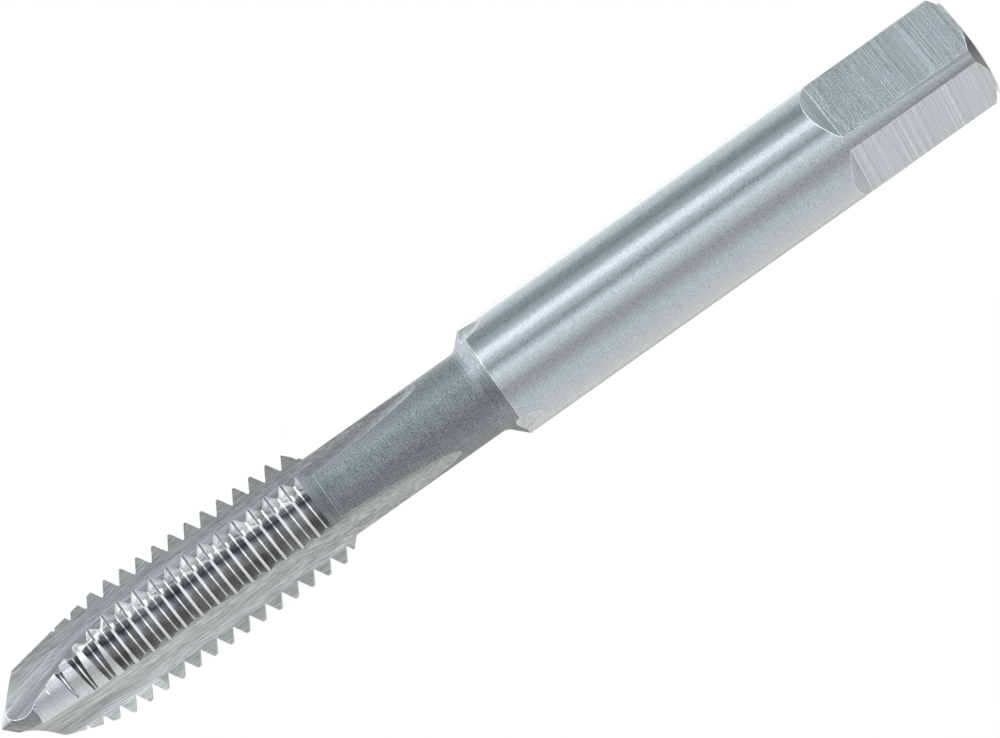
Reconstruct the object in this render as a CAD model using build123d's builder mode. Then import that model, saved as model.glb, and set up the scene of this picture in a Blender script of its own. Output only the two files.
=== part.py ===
from build123d import *
import os
from math import acos, cos, degrees, radians, sin, tan

# A straight-fluted machine tap with a spiral point, for an M8 x 1.25 thread.
# It is one piece of ground steel: a driving square, a shank, a reduced neck and a threaded
# body with three flutes, a relieved lead and a conical point.
#
# The tap stands on the end face of its square. The origin is the middle of that face, +Z runs
# up the axis to the point, and the flats of the square face X and Y. Lengths are millimetres.
# Angles are degrees about +Z, counted from +X towards +Y.

# ---- lengths along the axis ----
overall_length = 74.4
square_length = 10.1  # full depth of the flats, from the end face
shank_length = 36.5  # from the end face to the outer edge of the shoulder
thread_length = 25.25  # from the point back to where the neck begins

# ---- driving square and shank ----
square_across_flats = 6.3
square_runout_angle = 41.5  # of the slope that each flat ends in, from the axis
shank_diameter = 8.0
end_face_diameter = 6.2
end_chamfer_height = 0.6

# ---- neck ----
neck_diameter = 5.86
neck_fillet = 0.8
shoulder_angle = 45.0  # between the shoulder and the axis
thread_end_angle = 45.0  # between the thread's rear chamfer and the axis

# ---- thread ----
thread_diameter = 8.0
pitch = 1.25
thread_depth = 0.85
crest_width = 0.18
flank_angle = 30.0
groove_start_gap = 0.82  # the groove starts this far below the thread, in the air round the neck
groove_overcut = 0.1  # the groove's cutter stands this proud of the crests

# ---- point and lead ----
point_half_angle = 45.0
point_flat_diameter = 0.16
lead_angle = 9.57  # taper of the lead, along a cutting edge
lead_diameter = 6.78  # across the cutting edges, at lead_reference from the point
lead_reference = 3.0
lead_relief = 0.6  # how far the lead drops from a land's cutting edge to its heel

# ---- flutes ----
flute_count = 3
cutting_edge_angle = -90.0  # where the first land's cutting edge stands
flute_width_angle = 61.0  # from a cutting edge to the heel of the next land
flute_hook_angle = 6.0  # lean of the cutting face, undercutting the edge
flute_heel_lean = 8.3  # lean of the wall behind the next land's heel
flute_radius = 1.65
flute_straight_length = 18.2  # from the point to where the flute begins to run out
flute_wheel_radius = 98.0  # of the wheel that leaves the run-out

# ---- spiral point ----
# One angled gash in each flute, ground below the flute's floor at the point.
gash_radius = 1.9
gash_web_radius = 0.8  # what the gashes leave round the axis, at the point
gash_turn = -7.5  # from the cutting edge to the middle of the gash, at the point
gash_face_lean = 1.8  # lean of the gash's wall under the cutting edge
gash_tilt = 12.95  # between the gash and the axis
gash_tilt_direction = 73.7  # from the cutting edge to the side that the gash climbs to

# ---- worked out from these ----
shank_radius = shank_diameter / 2
neck_radius = neck_diameter / 2
thread_radius = thread_diameter / 2
root_radius = thread_radius - thread_depth
point_flat_radius = point_flat_diameter / 2
thread_base = overall_length - thread_length
heel_angle = cutting_edge_angle + flute_width_angle
clear = 2.0  # how far the cutters reach past what they cut
bar_spare = 5.0  # bar left above the point, so that the helical groove ends inside it


def polar(radius, angle):
    """The point at this distance from the axis and this angle about it."""
    return Vector(radius * cos(radians(angle)), radius * sin(radians(angle)))


def groove_section(center, radius, face_angle, back_angle):
    """A round-bottomed groove in section: two straight walls, tangent to an arc about center.

    face_angle and back_angle are the directions in which its two walls run outwards.
    """
    reach = thread_radius + clear
    face_foot = center + polar(radius, face_angle - 90)
    back_foot = center + polar(radius, back_angle + 90)
    floor = center - polar(radius, (face_angle + back_angle) / 2)
    face_end = face_foot + polar(reach, face_angle)
    back_end = back_foot + polar(reach, back_angle)
    with BuildSketch() as section:
        with BuildLine():
            Line(face_end, face_foot)
            ThreePointArc(face_foot, floor, back_foot)
            Line(back_foot, back_end)
            Line(back_end, face_end)
        make_face()
    return section.sketch


# ---- cutter: the helical groove between the crests ----
groove_width = pitch - crest_width
groove_root_width = groove_width - 2 * thread_depth * tan(radians(flank_angle))
groove_cutter_width = groove_width + 2 * groove_overcut * tan(radians(flank_angle))
groove_cutter_radius = thread_radius + groove_overcut
groove_start = thread_base - groove_start_gap
groove_height = overall_length + pitch - groove_start

with BuildPart() as thread_groove:
    with BuildLine():
        groove_path = Helix(pitch, groove_height, root_radius, center=(0, 0, groove_start))
    with BuildSketch(Plane.XZ):
        with BuildLine():
            Polyline(
                (root_radius, groove_start - groove_root_width / 2),
                (root_radius, groove_start + groove_root_width / 2),
                (groove_cutter_radius, groove_start + groove_cutter_width / 2),
                (groove_cutter_radius, groove_start - groove_cutter_width / 2),
                close=True,
            )
        make_face()
    sweep(path=groove_path.edge(), is_frenet=True)

# ---- cutter: one flute, straight from the point and then out along the wheel's arc ----
flute_face_angle = cutting_edge_angle + flute_hook_angle
flute_back_angle = heel_angle + flute_heel_lean
flute_half_opening = radians((flute_back_angle - flute_face_angle) / 2)
flute_middle_angle = (flute_face_angle + flute_back_angle) / 2
# The walls pass through the cutting edge and the heel. The arc's centre is one flute radius
# from each wall, so these are its distances from two lines through the axis along the walls.
center_to_face = flute_radius - thread_radius * sin(radians(flute_hook_angle))
center_to_back = flute_radius + thread_radius * sin(radians(flute_heel_lean))
flute_center = polar(
    (center_to_face + center_to_back) / (2 * sin(flute_half_opening)), flute_middle_angle
) + polar(
    (center_to_face - center_to_back) / (2 * cos(flute_half_opening)), flute_middle_angle + 90
)
flute_floor_radius = flute_center.length - flute_radius
flute_runout_start = overall_length - flute_straight_length
flute_outward = flute_center.normalized()
wheel_center = flute_outward * (flute_floor_radius + flute_wheel_radius) + Vector(
    0, 0, flute_runout_start
)
wheel_axis = Axis(wheel_center, flute_outward.cross(Vector(0, 0, 1)))
runout_rise = shank_radius + groove_overcut - flute_floor_radius
runout_angle = degrees(acos(1 - runout_rise / flute_wheel_radius))
flute_outline = groove_section(flute_center, flute_radius, flute_face_angle, flute_back_angle)

with BuildPart() as flute:
    with BuildSketch(Plane.XY.offset(flute_runout_start)) as flute_sketch:
        add(flute_outline)
    extrude(amount=flute_straight_length + clear)
    revolve(flute_sketch.sketch, axis=wheel_axis, revolution_arc=runout_angle)

# ---- cutter: one gash of the spiral point, tilted so that it climbs out of the flute ----
# It is drawn square to its own direction, in a plane through the point whose Y axis faces the
# side that the gash climbs to, so angles from the cutting edge turn by gash_plane_turn in it.
gash_climb_angle = cutting_edge_angle + gash_tilt_direction
gash_plane_turn = 90 - gash_tilt_direction
gash_plane = Plane(
    origin=(0, 0, overall_length),
    x_dir=polar(1, gash_climb_angle - 90),
    z_dir=Vector(0, 0, 1) - polar(tan(radians(gash_tilt)), gash_climb_angle),
)
gash_outline = groove_section(
    polar(gash_web_radius + gash_radius, gash_turn + gash_plane_turn),
    gash_radius,
    gash_face_lean + gash_plane_turn,
    flute_width_angle + flute_heel_lean + gash_plane_turn,
)

with BuildPart() as gash:
    with BuildSketch(gash_plane.offset(clear)):
        add(gash_outline)
    extrude(amount=-(flute_straight_length + clear))

# ---- cutter: the relieved lead of one land ----
# The lead of each land is a cone about an axis beside the tap's own. That axis lies square to
# the middle of the land, on the cutting edge's side, so the land falls away to its heel.
land_width_angle = 360 / flute_count - flute_width_angle
land_middle_angle = cutting_edge_angle - land_width_angle / 2
lead_offset = lead_relief / (2 * sin(radians(land_width_angle / 2)))
lead_center = polar(lead_offset, land_middle_angle + 90)
lead_slope = tan(radians(lead_angle))
lead_radius = lead_diameter / 2 - lead_offset * sin(radians(land_width_angle / 2))
lead_outer_radius = thread_radius + lead_offset + clear
lead_inner_radius = lead_radius - (lead_reference + clear) * lead_slope
lead_foot = lead_reference + (lead_outer_radius - lead_radius) / lead_slope
lead_start_angle = land_middle_angle - 180 / flute_count
lead_plane = Plane(
    origin=lead_center,
    x_dir=polar(1, lead_start_angle),
    z_dir=polar(1, lead_start_angle - 90),
)

with BuildPart() as lead:
    with BuildSketch(lead_plane):
        with BuildLine():
            Polyline(
                (lead_inner_radius, overall_length + clear),
                (lead_outer_radius, overall_length + clear),
                (lead_outer_radius, overall_length - lead_foot),
                close=True,
            )
        make_face()
    revolve(axis=Axis(lead_center, (0, 0, 1)), revolution_arc=360 / flute_count)

# ---- cutter: one flat of the driving square, with the slope at its end ----
flat_radius = square_across_flats / 2
flat_cutter_radius = shank_radius + clear
flat_slope_height = (flat_cutter_radius - flat_radius) / tan(radians(square_runout_angle))

with BuildPart() as flat:
    with BuildSketch(Plane.XZ):
        with BuildLine():
            Polyline(
                (flat_radius, -clear),
                (flat_cutter_radius, -clear),
                (flat_cutter_radius, square_length + flat_slope_height),
                (flat_radius, square_length),
                close=True,
            )
        make_face()
    extrude(amount=flat_cutter_radius, both=True)

# ---- the tap's outline, turned about its axis ----
shoulder_height = (shank_radius - neck_radius) / tan(radians(shoulder_angle))
thread_end_height = (thread_radius - neck_radius) / tan(radians(thread_end_angle))
point_height = (thread_radius - point_flat_radius) / tan(radians(point_half_angle))
neck_base = shank_length + shoulder_height

with BuildPart() as outline:
    with BuildSketch(Plane.XZ) as profile:
        with BuildLine():
            Polyline(
                (0, 0),
                (end_face_diameter / 2, 0),
                (shank_radius, end_chamfer_height),
                (shank_radius, shank_length),
                (neck_radius, neck_base),
                (neck_radius, thread_base),
                (thread_radius, thread_base + thread_end_height),
                (thread_radius, overall_length - point_height),
                (point_flat_radius, overall_length),
                (0, overall_length),
                close=True,
            )
        make_face()
        neck_corner = profile.vertices().sort_by_distance((neck_radius, neck_base))[0]
        fillet(neck_corner, neck_fillet)
    revolve(axis=Axis.Z)

# ---- the tap ----
# The thread is cut along a plain bar first, then the flutes and the lead, and the bar is then
# reduced to the turned outline.
with BuildPart() as thread_tap:
    Cylinder(
        max(shank_radius, thread_radius),
        overall_length + bar_spare,
        align=(Align.CENTER, Align.CENTER, Align.MIN),
    )
    add(thread_groove.part, mode=Mode.SUBTRACT)
    with PolarLocations(0, flute_count):
        add(flute.part, mode=Mode.SUBTRACT)
    with PolarLocations(0, flute_count):
        add(lead.part, mode=Mode.SUBTRACT)
        add(gash.part, mode=Mode.SUBTRACT)
    add(outline.part, mode=Mode.INTERSECT)
    with PolarLocations(0, 4):
        add(flat.part, mode=Mode.SUBTRACT)

os.makedirs("parts", exist_ok=True)
thread_tap.part.label = "thread_tap"
export_step(thread_tap.part, "parts/thread_tap.step")
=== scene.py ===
from math import cos, hypot, pi, radians, sin, sqrt, tan

import bmesh
import bpy
from mathutils import Matrix, Vector

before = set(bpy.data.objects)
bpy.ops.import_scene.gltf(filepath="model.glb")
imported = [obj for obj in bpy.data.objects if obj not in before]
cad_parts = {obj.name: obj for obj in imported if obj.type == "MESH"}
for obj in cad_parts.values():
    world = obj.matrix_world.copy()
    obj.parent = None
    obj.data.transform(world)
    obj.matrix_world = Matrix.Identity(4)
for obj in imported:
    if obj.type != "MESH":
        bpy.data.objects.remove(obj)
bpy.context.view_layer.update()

MM = 0.001
AXIS = Vector((0, 0, 1))
scene = bpy.context.scene

# ---- what the finishes follow on the tap: heights over its square end and radii, in mm ----
END_FACE_TOP = 0.01
END_CHAMFER_TOP = 0.61
BAND_TOP = 10.06  # the bands are the round strips between the flats of the square
FLAT_TOP = 10.11  # of the flats' full depth
RUNOUT_TOP = 11.1  # of the slope that each flat ends in
SHOULDER_BASE = 36.5
NECK_BASE = 37.95  # above the shoulder and its fillet
THREAD_BASE = 49.15
GASH_BASE = 55.0
SHANK_RADIUS = 4.0
NECK_RADIUS = 2.93
SCALLOP_INNER_RADIUS = 3.33
ROOT_INNER_RADIUS = 3.05
CREST_INNER_RADIUS = 3.7
RADIUS_MARGIN = 0.05

# ---- how facets face: a rise is how far the normal points up the axis, from -1 to 1 ----
SQUARE_ON = 0.9995
NEARLY_ONE = 0.995
SLANTING = sqrt(0.5)  # the conical point, and downwards the thread's rear chamfer
SLANTING_OUTWARD = 0.6  # least share of the normal that points out from the axis
CHAMFER_RISE = -0.3
SCALLOP_RISE = (0.05, 0.4)
LEAD_RISE = 0.166
LEAD_OUTWARD = 0.95
FLANK_RISE = 0.78
FACING_MARGIN = 0.02
GASH_TILT = radians(12.95)  # between a gash and the axis
GASH_CLIMB = radians(-90 + 73.7)  # the side that the first gash climbs to
GASH_RISE = 0.015
GASH_MARGIN = 0.012

# ---- texture that all the finishes share ----
BROAD_SCALE = 0.23  # broad streaks to each fine line
SPECK_HEIGHT = 0.5  # bump of the specks and rings, next to that of the lines
RING_HEIGHT = 0.35
RING_TONE = 0.5
WAVE_FACTOR = 20  # Blender's wave texture repeats every 2 pi / 20 at scale 1
EDGE_HIGHLIGHT_GREY = 0.85  # grey of the painted highlight on a rounded edge
EDGE_HIGHLIGHT_BEND = (0.998, 0.965)  # cosine of an edge's bend, where the painted highlight begins and is full
PAINTED_RISE_HEIGHTS = (48.0, 66.0)  # between these, painted light makes the flutes lighter towards the point
PAINTED_RISE_LEVELS = (0.92, 1.08)
SHOULDER_BLEND = (37.15, 38.15)  # between these the shoulder's finish turns into the neck's
# A position on a land and the flute behind it, as a share of the third of a turn they take:
# the flute from 0 at the cutting edge to 0.51 at the next heel, and that land from there to 1.
THIRD_START = 1.75
THIRDS_PER_RADIAN = 3 / (2 * pi)
# Painted shade: each flute darkens from its cutting edge to 0.53 near its heel, and lightens again
# over the land.
FLUTE_PAINTED_SHADE = [(0.0, 1.0), (0.12, 0.96), (0.35, 0.74), (0.5, 0.53), (0.7, 0.85), (1.0, 1.0)]
# Near the cutting edges, painted shade darkens the crests and painted light lightens the flanks,
# which are also duller there.
CREST_PAINTED_SHADE = [(0.0, 0.3), (0.02, 0.3), (0.1, 1.0), (0.83, 1.0), (0.845, 0.3), (1.0, 0.3)]
FLANK_PAINTED_LIGHT = [(0.0, 1.0), (0.86, 1.0), (0.9, 1.2), (0.94, 1.6), (0.965, 1.3), (1.0, 1.0)]
FLANK_ROUGHNESS = [(0.0, 0.55), (0.02, 0.55), (0.1, 0.13), (0.925, 0.13), (0.94, 0.55), (1.0, 0.55)]


# ---- node helpers ----
def node(tree, kind, inputs=None, **settings):
    """A node, with its settings by name and its inputs by number or name in a dict."""
    made = tree.nodes.new(kind)
    for name, value in settings.items():
        setattr(made, name, value)
    for key, value in (inputs or {}).items():
        if isinstance(value, bpy.types.NodeSocket):
            tree.links.new(value, made.inputs[key])
        else:
            made.inputs[key].default_value = value
    return made


def maths(tree, operation, *values):
    return node(tree, "ShaderNodeMath", dict(enumerate(values)), operation=operation).outputs[0]


def scaled(tree, vector, factor):
    return node(tree, "ShaderNodeVectorMath", {0: vector, 3: factor}, operation="SCALE").outputs[0]


def dotted(tree, first, second):
    made = node(tree, "ShaderNodeVectorMath", {0: first, 1: second}, operation="DOT_PRODUCT")
    return made.outputs["Value"]


def mapped(tree, value, ends, levels, kind="LINEAR"):
    """The first level where the value is at the first end, and the second at the second."""
    inputs = dict(enumerate((value, *ends, *levels)))
    return node(tree, "ShaderNodeMapRange", inputs, interpolation_type=kind).outputs[0]


def ramp(tree, factor, stops):
    """A colour ramp, linear between stops of (position, grey or colour)."""
    made = node(tree, "ShaderNodeValToRGB", {0: factor})
    elements = made.color_ramp.elements
    while len(elements) < len(stops):
        elements.new(1.0)
    for element, (position, value) in zip(elements, stops):
        element.position = position
        element.color = (*value, 1) if isinstance(value, tuple) else (value, value, value, 1)
    return made.outputs[0]


def plus(tree, total, pattern, amount):
    """The total with this amount of the pattern on it."""
    return maths(tree, "ADD", maths(tree, "MULTIPLY", pattern, amount), total)


def noise(tree, place, scale, detail, roughness):
    """Noise about zero."""
    made = node(tree, "ShaderNodeTexNoise", {
        "Vector": place, "Scale": scale, "Detail": detail, "Roughness": roughness})
    return maths(tree, "SUBTRACT", made.outputs[0], 0.5)


def rings(tree, place, spacing):
    """Turning marks about zero, one ring round the axis every spacing millimetres."""
    made = node(tree, "ShaderNodeTexWave", {
        "Vector": place, "Scale": 2 * pi / (WAVE_FACTOR * spacing), "Distortion": 0.5,
        "Detail": 2.0, "Detail Scale": 1.5}, bands_direction="Z")
    return maths(tree, "SUBTRACT", made.outputs[1], 0.5)


def third_of_turn(tree, x, y):
    """The position on a flute and the land behind it."""
    third = maths(tree, "MULTIPLY", maths(tree, "ARCTAN2", y, x), THIRDS_PER_RADIAN)
    return maths(tree, "FRACT", maths(tree, "ADD", third, THIRD_START))


# ---- finishes ----
def metal(name, colour, roughness, lines, depth, contrast, anisotropy=0.0, coarse=0.0, grain=0.0,
          grain_scale=9.0, grain_roughness=0.0, ring_spacing=0.0, edge=0.0, lengthwise=False,
          along=None, painted_tones=None, painted_rise=False, shoulder=None):
    """Ground or polished steel.

    roughness: a number, or where there are painted tones, stops like theirs.
    lines: the grinding lines' repeats per millimetre along X, Y and Z, so that they run in the
        directions with the small numbers.
    along: a direction that the lines follow in place of Z.
    depth: the bump of the lines, in millimetres.
    contrast, coarse, grain: how far lines, broad streaks and specks change the tone.
    grain_roughness: how far the specks change the roughness.
    edge: the width of a rounded edge, shaded by its bevelled normal and lightened by a painted
    highlight, in millimetres.
    lengthwise: the lines spread the sheen round the axis, and otherwise along it.
    painted_tones: stops that scale the tone over a flute and a land, as painted light and shade.
    painted_rise: painted light, so that the tone grows lighter towards the point.
    shoulder: the finish's roughness and tone on the shoulder below it.
    """
    made = bpy.data.materials.new(name)
    made.use_nodes = True
    tree = made.node_tree
    shader = tree.nodes["Principled BSDF"]
    shader.inputs["Metallic"].default_value = 1.0
    shader.inputs["Anisotropic"].default_value = anisotropy
    shader.inputs["Anisotropic Rotation"].default_value = 0.0 if lengthwise else 0.25
    tangent = node(tree, "ShaderNodeTangent", direction_type="RADIAL", axis="Z")
    tree.links.new(tangent.outputs[0], shader.inputs["Tangent"])

    place = scaled(tree, node(tree, "ShaderNodeTexCoord").outputs["Object"], 1 / MM)
    turned = place
    if along is not None:
        turn = along.rotation_difference(AXIS).to_euler()
        turned = node(tree, "ShaderNodeVectorRotate", {0: place, "Rotation": turn},
                      rotation_type="EULER_XYZ").outputs[0]
    stretched = node(tree, "ShaderNodeVectorMath", {0: turned, 1: lines},
                     operation="MULTIPLY").outputs[0]

    height = noise(tree, stretched, scale=1.0, detail=4.0, roughness=0.65)
    level = plus(tree, 1.0, height, contrast)
    if coarse:
        broad = noise(tree, stretched, scale=BROAD_SCALE, detail=2.0, roughness=0.5)
        level = plus(tree, level, broad, coarse)
    if grain:
        specks = noise(tree, place, scale=grain_scale, detail=3.0, roughness=0.6)
        level = plus(tree, level, specks, grain)
        height = plus(tree, height, specks, grain * SPECK_HEIGHT)
        if grain_roughness:
            roughness = plus(tree, roughness, specks, grain_roughness)
    if ring_spacing:
        marks = rings(tree, place, ring_spacing)
        level = plus(tree, level, marks, RING_TONE)
        height = plus(tree, height, marks, RING_HEIGHT)
    if painted_tones or painted_rise or shoulder:
        x, y, z = node(tree, "ShaderNodeSeparateXYZ", {0: place}).outputs
    # painted light and shade: the tone is scaled by the place on a flute and the land behind it
    if painted_tones:
        third = third_of_turn(tree, x, y)
        level = maths(tree, "MULTIPLY", level, ramp(tree, third, painted_tones))
        if isinstance(roughness, list):
            roughness = ramp(tree, third, roughness)
    # painted light: lighter towards the point
    if painted_rise:
        level = maths(tree, "MULTIPLY", level, mapped(tree, z, PAINTED_RISE_HEIGHTS, PAINTED_RISE_LEVELS))
    if shoulder:
        low_roughness, low_level = shoulder
        blend = mapped(tree, z, SHOULDER_BLEND, (low_level, 1.0), "SMOOTHSTEP")
        level = maths(tree, "MULTIPLY", level, blend)
        roughness = mapped(tree, z, SHOULDER_BLEND, (low_roughness, roughness), "SMOOTHSTEP")
    tint = scaled(tree, colour, level)
    bump = node(tree, "ShaderNodeBump", {"Height": height, "Distance": depth * MM, "Strength": 1.0})
    if edge:
        rounded = node(tree, "ShaderNodeBevel", {"Radius": edge * MM}, samples=4).outputs[0]
        face = node(tree, "ShaderNodeNewGeometry").outputs["Normal"]
        # painted highlight: the colour turns light grey where the bevelled normal bends away from
        # the face
        highlight = mapped(tree, dotted(tree, rounded, face), EDGE_HIGHLIGHT_BEND, (0.0, 1.0))
        tint = node(tree, "ShaderNodeMix", {0: highlight, 6: tint, 7: (EDGE_HIGHLIGHT_GREY, EDGE_HIGHLIGHT_GREY, EDGE_HIGHLIGHT_GREY, 1)},
                    data_type="RGBA").outputs[2]
        tree.links.new(rounded, bump.inputs["Normal"])
    tree.links.new(tint, shader.inputs["Base Color"])
    tree.links.new(bump.outputs[0], shader.inputs["Normal"])
    if isinstance(roughness, bpy.types.NodeSocket):
        tree.links.new(roughness, shader.inputs["Roughness"])
    else:
        shader.inputs["Roughness"].default_value = roughness
    return made


def steel(level, red=0.88, green=0.965):
    """A grey of this level in blue, with red and green as shares of it."""
    return (level * red, level * green, level)


def gash_direction(index):
    """The direction in which this gash is ground, which leans from the axis."""
    climb = GASH_CLIMB + index * radians(120)
    lean = -tan(GASH_TILT)
    return Vector((lean * cos(climb), lean * sin(climb), 1)).normalized()


looks = {
    "end_face": dict(colour=steel(0.45), roughness=0.4, anisotropy=0.3, lines=(3, 3, 3),
                     depth=0.002, contrast=0.6),
    "end_chamfer": dict(colour=steel(0.26), roughness=0.3, anisotropy=0.5, lines=(0.1, 0.1, 9),
                        depth=0.002, contrast=0.6, edge=0.05),
    "flat": dict(colour=steel(0.46), roughness=0.29, anisotropy=0.5, lines=(0.04, 0.04, 12),
                 depth=0.026, contrast=1.4, coarse=0.6, grain=0.5, grain_scale=10.0, edge=0.05),
    "runout": dict(colour=steel(0.38), roughness=0.28, anisotropy=0.5, lines=(0.05, 0.05, 9),
                   depth=0.006, contrast=1.6, edge=0.05),
    "band": dict(colour=steel(0.36), roughness=0.4, anisotropy=0.3, lines=(0.3, 0.3, 6),
                 depth=0.003, contrast=0.3, grain=1.3, grain_scale=11.0, grain_roughness=0.3,
                 edge=0.05),
    "shank": dict(colour=steel(0.46), roughness=0.32, anisotropy=0.7, lines=(0.3, 0.3, 6),
                  depth=0.0018, contrast=0.2, grain=1.4, grain_scale=12.0, grain_roughness=0.25,
                  edge=0.07),
    "neck": dict(colour=steel(0.32), roughness=0.66, anisotropy=0.7, lines=(0.3, 0.3, 9),
                 depth=0.003, contrast=0.6, grain=2.4, grain_scale=12.0, ring_spacing=0.134,
                 edge=0.07, shoulder=(0.45, 0.88)),
    "scallop": dict(colour=steel(0.56, 0.93, 0.98), roughness=0.42, anisotropy=0.4,
                    lines=(12, 12, 1), lengthwise=True, depth=0.006, contrast=1.5, edge=0.04),
    "thread_end": dict(colour=steel(0.26), roughness=0.5, anisotropy=0.2, lines=(0.3, 0.3, 9),
                       depth=0.003, contrast=0.8, grain=1.2),
    # The crests, flanks, flutes and gashes below carry painted light and shade by their place round
    # the axis.
    "crest": dict(colour=steel(0.7, 0.95, 0.98), roughness=0.42, lines=(2, 2, 6),
                  depth=0.0004, contrast=0.2, edge=0.03, painted_tones=CREST_PAINTED_SHADE),
    "flank": dict(colour=steel(0.46, 0.98, 0.99), roughness=FLANK_ROUGHNESS, lines=(1.2, 1.2, 3),
                  depth=0.0004, contrast=0.4, coarse=1.4, painted_tones=FLANK_PAINTED_LIGHT),
    "root": dict(colour=steel(0.68, 0.95, 0.98), roughness=0.15, lines=(1.2, 1.2, 3),
                 depth=0.0004, contrast=0.2),
    "lead": dict(colour=steel(0.68, 0.94, 0.98), roughness=0.22, anisotropy=0.3,
                 lines=(0.3, 0.3, 6), depth=0.0012, contrast=0.3, grain=0.5, edge=0.04),
    "point": dict(colour=steel(0.26), roughness=0.3, anisotropy=0.3, lines=(0.5, 0.5, 5),
                  depth=0.003, contrast=0.9, grain=1.2, edge=0.07),
    "flute": dict(colour=steel(0.48, 0.95, 0.99), roughness=0.4, anisotropy=0.5,
                  lines=(24, 24, 0.8), lengthwise=True, depth=0.006, contrast=3.0, coarse=0.1,
                  edge=0.03, painted_tones=FLUTE_PAINTED_SHADE, painted_rise=True),
}
for index in range(3):
    looks[f"gash_{index}"] = dict(
        colour=steel(0.52, 0.94, 0.985), roughness=0.38, anisotropy=0.5, lines=(20, 20, 0.4),
        lengthwise=True, along=gash_direction(index), depth=0.006, contrast=2.7, coarse=0.25,
        edge=0.05, painted_tones=FLUTE_PAINTED_SHADE, painted_rise=True)


def near(value, wanted, margin=FACING_MARGIN):
    return abs(value - wanted) < margin


def finish_of(centre, normal):
    """The name of the finish for a facet of the tap, from where it lies and how it faces."""
    x, y, z = (value / MM for value in centre)
    reach = hypot(x, y)
    outward = (normal.x * x + normal.y * y) / max(reach, 1e-6)
    rise = normal.z
    upright = outward > NEARLY_ONE and near(rise, 0)
    if z < END_FACE_TOP:
        return "end_face"
    if z < END_CHAMFER_TOP and rise < CHAMFER_RISE:
        return "end_chamfer"
    if z < SHOULDER_BASE:
        square_on = max(abs(normal.x), abs(normal.y)) > SQUARE_ON
        if square_on and reach < SHANK_RADIUS and z < FLAT_TOP:
            return "flat"
        if upright:
            return "band" if z < BAND_TOP else "shank"
        return "runout" if z < RUNOUT_TOP else "scallop"
    if z < NECK_BASE:
        # the flutes' run-out leaves hollows in the shoulder
        hollow = SCALLOP_RISE[0] < rise < SCALLOP_RISE[1] and reach > SCALLOP_INNER_RADIUS
        return "scallop" if hollow else "neck"
    if z < THREAD_BASE:
        return "neck" if upright and near(reach, NECK_RADIUS, RADIUS_MARGIN) else "flute"
    if rise > NEARLY_ONE or (outward > SLANTING_OUTWARD and near(rise, SLANTING)):
        return "point"
    if near(rise, -SLANTING):
        return "thread_end"
    if abs(rise) > FLANK_RISE:
        return "flank"
    if near(rise, LEAD_RISE) and outward > LEAD_OUTWARD:
        return "lead"
    if upright and reach > ROOT_INNER_RADIUS:
        return "crest" if reach > CREST_INNER_RADIUS else "root"
    if z > GASH_BASE and abs(rise) > GASH_RISE:
        for number in range(3):
            if near(normal.dot(gash_direction(number)), 0, GASH_MARGIN):
                return f"gash_{number}"
    return "flute"


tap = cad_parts["thread_tap"]
tap.data.materials.clear()
names = list(looks)
for name in names:
    tap.data.materials.append(metal(name, **looks[name]))
corners = tap.data.corner_normals
for facet in tap.data.polygons:
    normal = sum((corners[corner].vector for corner in facet.loop_indices), Vector()).normalized()
    facet.material_index = names.index(finish_of(facet.center, normal))

# ---- camera: level, rolled so that the tap lies along the picture's diagonal ----
CAMERA_ANGLE = radians(-126)  # about the axis, from +X
CAMERA_ROLL = radians(35.26)
CAMERA_DISTANCE = 330
AIM_HEIGHT = 35.765
AIM_ACROSS = 0.404
toward = Vector((cos(CAMERA_ANGLE), sin(CAMERA_ANGLE), 0))
across = AXIS.cross(toward)
right = -cos(CAMERA_ROLL) * AXIS - sin(CAMERA_ROLL) * across
up = -sin(CAMERA_ROLL) * AXIS + cos(CAMERA_ROLL) * across
aim = AXIS * AIM_HEIGHT * MM + across * AIM_ACROSS * MM

camera = bpy.data.objects.new("camera", bpy.data.cameras.new("camera"))
placing = Matrix((right, up, toward)).transposed().to_4x4()
placing.translation = aim + toward * CAMERA_DISTANCE * MM
camera.matrix_world = placing
camera.data.lens = 188.9
camera.data.sensor_width = 36
camera.data.clip_start = 0.01
camera.data.clip_end = 10
scene.collection.objects.link(camera)
scene.camera = camera

# ---- light: a studio of long soft panels that stand along the tap, all round it ----
# Each list gives (degrees from the camera's side towards across, brightness). Each height is
# the share of a direction that points up the axis.
PANELS = [
    (-180, 0.40), (-160, 0.70), (-145, 1.15), (-106, 1.20), (-81, 1.20), (-60, 1.15), (-46, 0.90),
    (-29, 0.70), (-20, 0.75), (-14, 1.25), (-8, 1.25), (0, 1.30), (4, 1.80), (9, 1.80),
    (14, 1.12), (20, 0.90), (22.5, 0.2), (27, 0.25), (31, 1.15), (36, 1.10), (42, 0.65), (60, 0.90),
    (64, 0.20), (80, 0.30), (90, 0.48), (99, 0.50), (106, 0.95), (118, 1.20), (130, 1.25),
    (150, 1.80), (165, 1.90), (172, 0.10),
]
PANELS_MOST = 2.0
# well above and below the tap, where the walls of the thread's grooves reflect
GROOVE_PANELS = [
    (-180, 0.40), (-160, 0.80), (-145, 1.30), (-106, 1.35), (-98, 1.00), (-66, 0.60), (-46, 0.26),
    (-29, 0.30), (-14, 0.70), (-4, 1.20), (8, 1.90), (18, 1.60), (25, 0.10), (45, 0.06), (48, 6.20),
    (78, 6.20), (83, 0.40), (99, 0.45), (106, 0.90), (118, 1.15), (130, 1.25), (150, 1.80),
    (165, 1.90), (172, 0.10),
]
GROOVE_MOST = 8.0
GROOVE_HEIGHT = 0.81
GROOVE_HALF = 0.1
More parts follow.
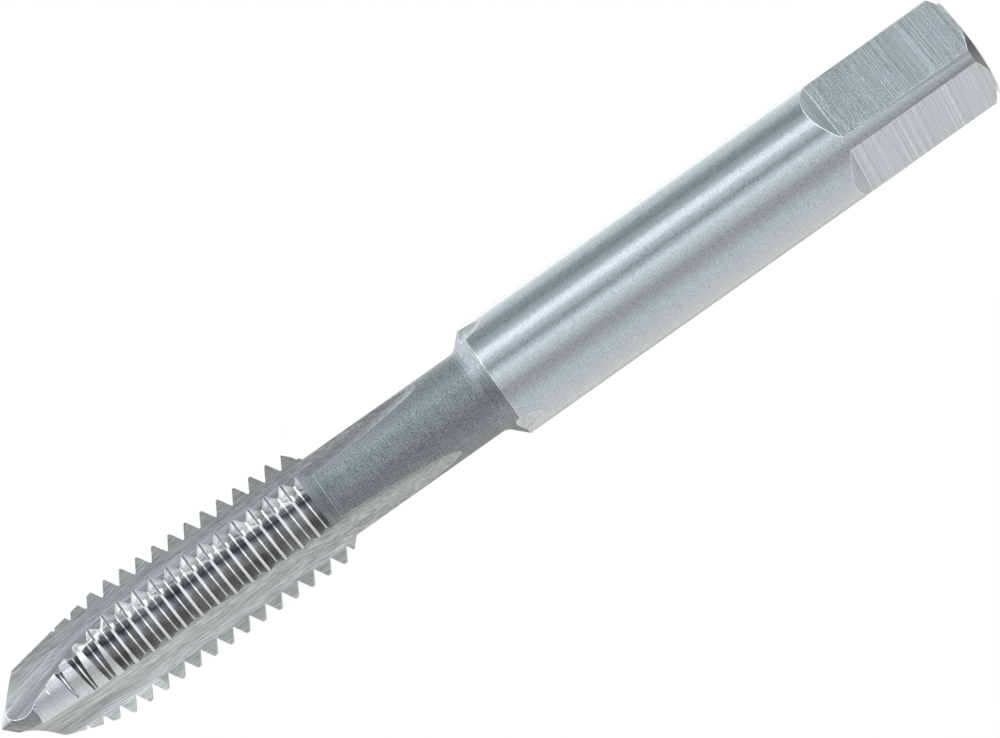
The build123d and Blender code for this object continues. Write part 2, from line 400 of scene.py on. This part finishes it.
# a bright, short panel, so that only the surfaces polished enough see the whole of it
KEY_PANEL = [(-180, 0.0), (40, 0.0), (45, 1.0), (58, 1.0), (63, 0.33), (76, 0.3), (82, 0.0)]
KEY_STRENGTH = 8.2
KEY_FADE = (0.035, 0.05)
# a soft one above it, towards the point
CROWN_PANEL = [(-180, 0.0), (40, 0.0), (80, 1.0), (150, 1.0), (175, 0.0)]
CROWN_STRENGTH = 1.4
CROWN_FADE = (0.35, 0.65)
# one below it, towards the square
LOW_PANEL = [(-180, 0.0), (30, 0.0), (48, 1.0), (90, 1.0), (102, 0.0)]
LOW_STRENGTH = 5.0
LOW_HEIGHT = -0.56
LOW_HALF = 0.1
# towards the point the studio darkens where this is 1, and lightens where it is 0
DUSK_PANEL = [(-180, 1.0), (1, 1.0), (5, 0.0), (30, 0.0), (60, 0.5)]
DUSK_FADE = (0.1, 0.32)
DUSK_STRENGTH = 0.85
SOFT_BORDER = 0.03
# the shares of red and green, next to blue: bluer on the key panel's side, warmer far from it
KEY_TINT = (0.95, 0.985)
NEAR_TINT = (1.0, 1.0)
FAR_TINT = (1.05, 1.02)
FAR_SIDE = -95

world = bpy.data.worlds.new("studio")
world.use_nodes = True
scene.world = world
studio = world.node_tree
studio.nodes.clear()
facing = node(studio, "ShaderNodeTexCoord").outputs["Generated"]
side, front, height = (dotted(studio, facing, axis) for axis in (across, toward, AXIS))
share = maths(studio, "MULTIPLY_ADD", maths(studio, "ARCTAN2", side, front), 1 / (2 * pi), 0.5)


def position(angle):
    """The place of this angle on a ramp round the tap."""
    return (angle + 180) / 360


def glow(panel, most=1.0):
    """Brightness round the tap, as a share of most because a ramp holds no more than 1."""
    stops = []
    for angle, level in panel:
        red, green = KEY_TINT if angle > 0 else NEAR_TINT if angle > FAR_SIDE else FAR_TINT
        stops.append((position(angle), (level * red / most, level * green / most, level / most)))
    return ramp(studio, share, stops)


def between(value, middle, half, strength=1.0):
    """strength within half of the middle, and nothing outside, with a soft border."""
    off = maths(studio, "ABSOLUTE", maths(studio, "SUBTRACT", value, middle))
    return mapped(studio, off, (half - SOFT_BORDER, half + SOFT_BORDER), (strength, 0.0))


def added(first, second):
    return node(studio, "ShaderNodeVectorMath", {0: first, 1: second}, operation="ADD").outputs[0]


away = maths(studio, "ABSOLUTE", height)
shade = ramp(studio, share, [(position(angle), level) for angle, level in DUSK_PANEL])
shade = maths(studio, "MULTIPLY", mapped(studio, height, DUSK_FADE, (0.0, DUSK_STRENGTH)),
              maths(studio, "SUBTRACT", shade, 0.5))
walls = scaled(studio, glow(PANELS, PANELS_MOST), maths(studio, "SUBTRACT", PANELS_MOST, shade))
groove_walls = scaled(studio, glow(GROOVE_PANELS, GROOVE_MOST), GROOVE_MOST)
fill = node(studio, "ShaderNodeMix", {
    0: between(away, GROOVE_HEIGHT, GROOVE_HALF), 6: walls, 7: groove_walls},
    data_type="RGBA").outputs[2]
key = scaled(studio, glow(KEY_PANEL), mapped(studio, away, KEY_FADE, (KEY_STRENGTH, 0.0)))
crown = scaled(studio, glow(CROWN_PANEL), mapped(studio, height, CROWN_FADE, (0.0, CROWN_STRENGTH)))
low = scaled(studio, glow(LOW_PANEL), between(height, LOW_HEIGHT, LOW_HALF, LOW_STRENGTH))
lit = node(studio, "ShaderNodeBackground", {0: added(added(fill, key), added(crown, low)), 1: 1.0})
backdrop = node(studio, "ShaderNodeBackground", {0: (1, 1, 1, 1), 1: 1.0})
seen = node(studio, "ShaderNodeLightPath").outputs["Is Camera Ray"]
both = node(studio, "ShaderNodeMixShader", {0: seen, 1: lit.outputs[0], 2: backdrop.outputs[0]})
node(studio, "ShaderNodeOutputWorld", {0: both.outputs[0]})

# ---- floor: a pale disc that fades into the backdrop ----
FLOOR_RADIUS = 90
FLOOR_FADE = (40, 88)
disc = bmesh.new()
bmesh.ops.create_circle(disc, cap_ends=True, segments=96, radius=FLOOR_RADIUS * MM)
floor_mesh = bpy.data.meshes.new("floor")
disc.to_mesh(floor_mesh)
disc.free()
floor = bpy.data.objects.new("floor", floor_mesh)
scene.collection.objects.link(floor)
floor.visible_glossy = False
paper = bpy.data.materials.new("paper")
paper.use_nodes = True
sheet = paper.node_tree
shader = sheet.nodes["Principled BSDF"]
shader.inputs["Base Color"].default_value = (0.9, 0.9, 0.9, 1)
shader.inputs["Roughness"].default_value = 0.9
shader.inputs["Emission Color"].default_value = (1, 1, 1, 1)
shader.inputs["Emission Strength"].default_value = 0.45
place = scaled(sheet, node(sheet, "ShaderNodeTexCoord").outputs["Object"], 1 / MM)
spread = node(sheet, "ShaderNodeVectorMath", {0: place}, operation="LENGTH").outputs["Value"]
sheet.links.new(mapped(sheet, spread, FLOOR_FADE, (1.0, 0.0)), shader.inputs["Alpha"])
floor_mesh.materials.append(paper)

scene.view_settings.view_transform = "Standard"
